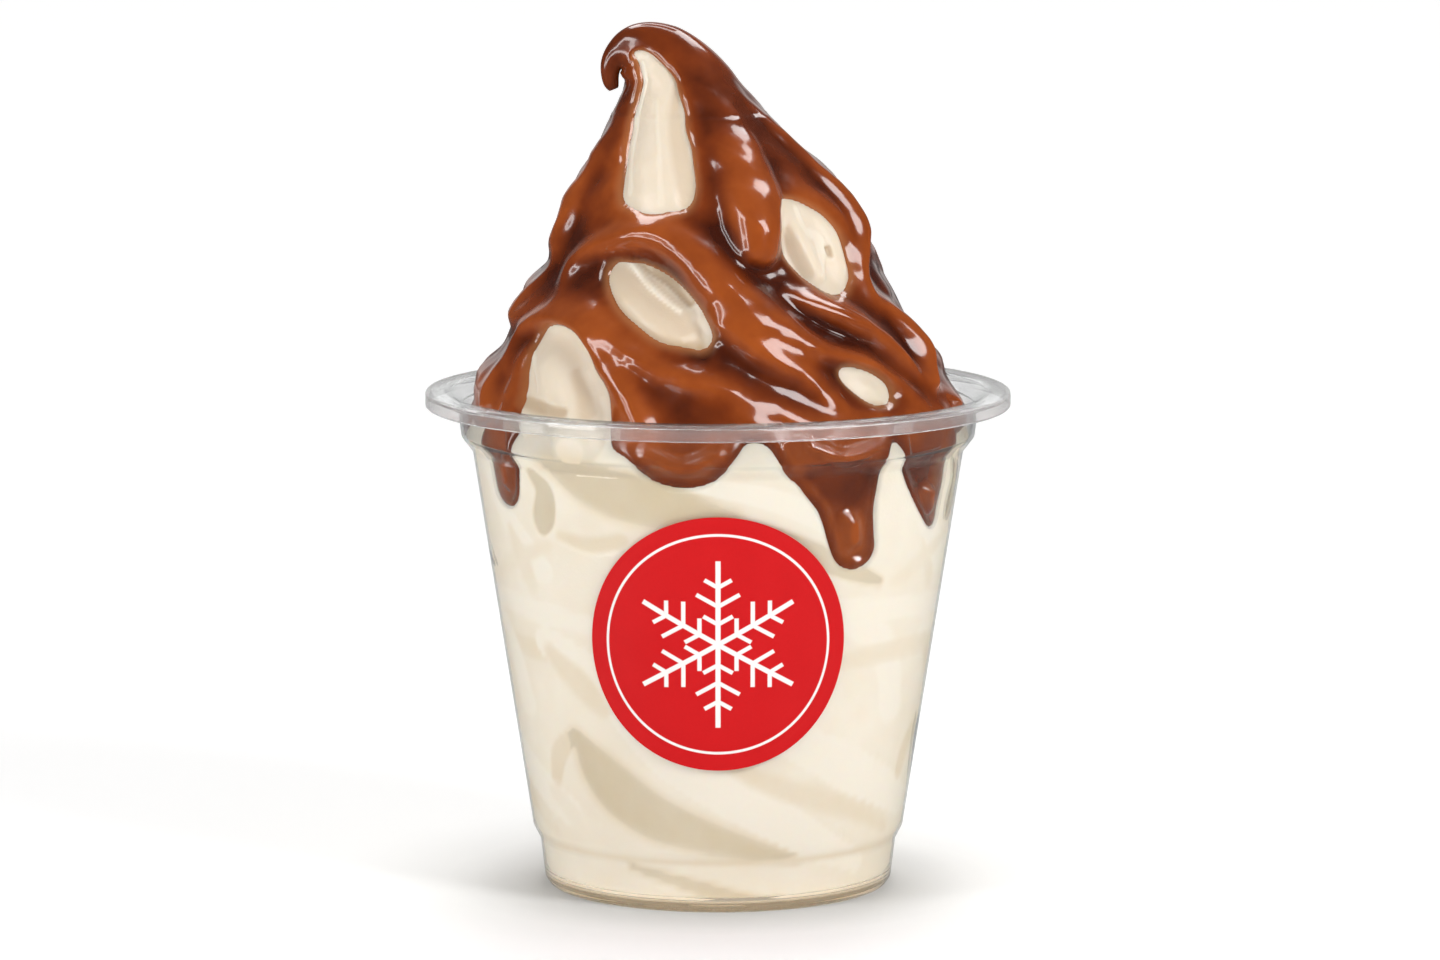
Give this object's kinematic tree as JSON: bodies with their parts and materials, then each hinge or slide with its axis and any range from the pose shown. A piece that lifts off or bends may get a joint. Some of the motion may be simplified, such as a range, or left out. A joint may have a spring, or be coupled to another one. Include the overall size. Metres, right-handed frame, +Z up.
{
  "type": "cup of soft-serve ice cream",
  "caption": "Clear plastic cup filled with a tall swirl of soft-serve ice cream with a curled tip, under thick chocolate hazelnut sauce, with a round sticker.",
  "frame": {"origin": "middle of the cup's foot, on the table", "axes": "+Z up the cup's axis to the swirl, -Y out of the sticker's middle, +X to the right seen from the sticker"},
  "size_m": [0.095, 0.095, 0.1405],
  "materials": {
    "clear_plastic": "clear thermoformed plastic",
    "vanilla_ice_cream": "smooth moist vanilla ice cream",
    "chocolate_sauce": "wet glossy chocolate hazelnut sauce",
    "sticker": "printed paper with a satin film"
  },
  "bodies": {
    "root": {"cup": "clear_plastic", "ice_cream": "vanilla_ice_cream", "chocolate_sauce": "chocolate_sauce", "label": "sticker"}
  },
  "joints": []
}
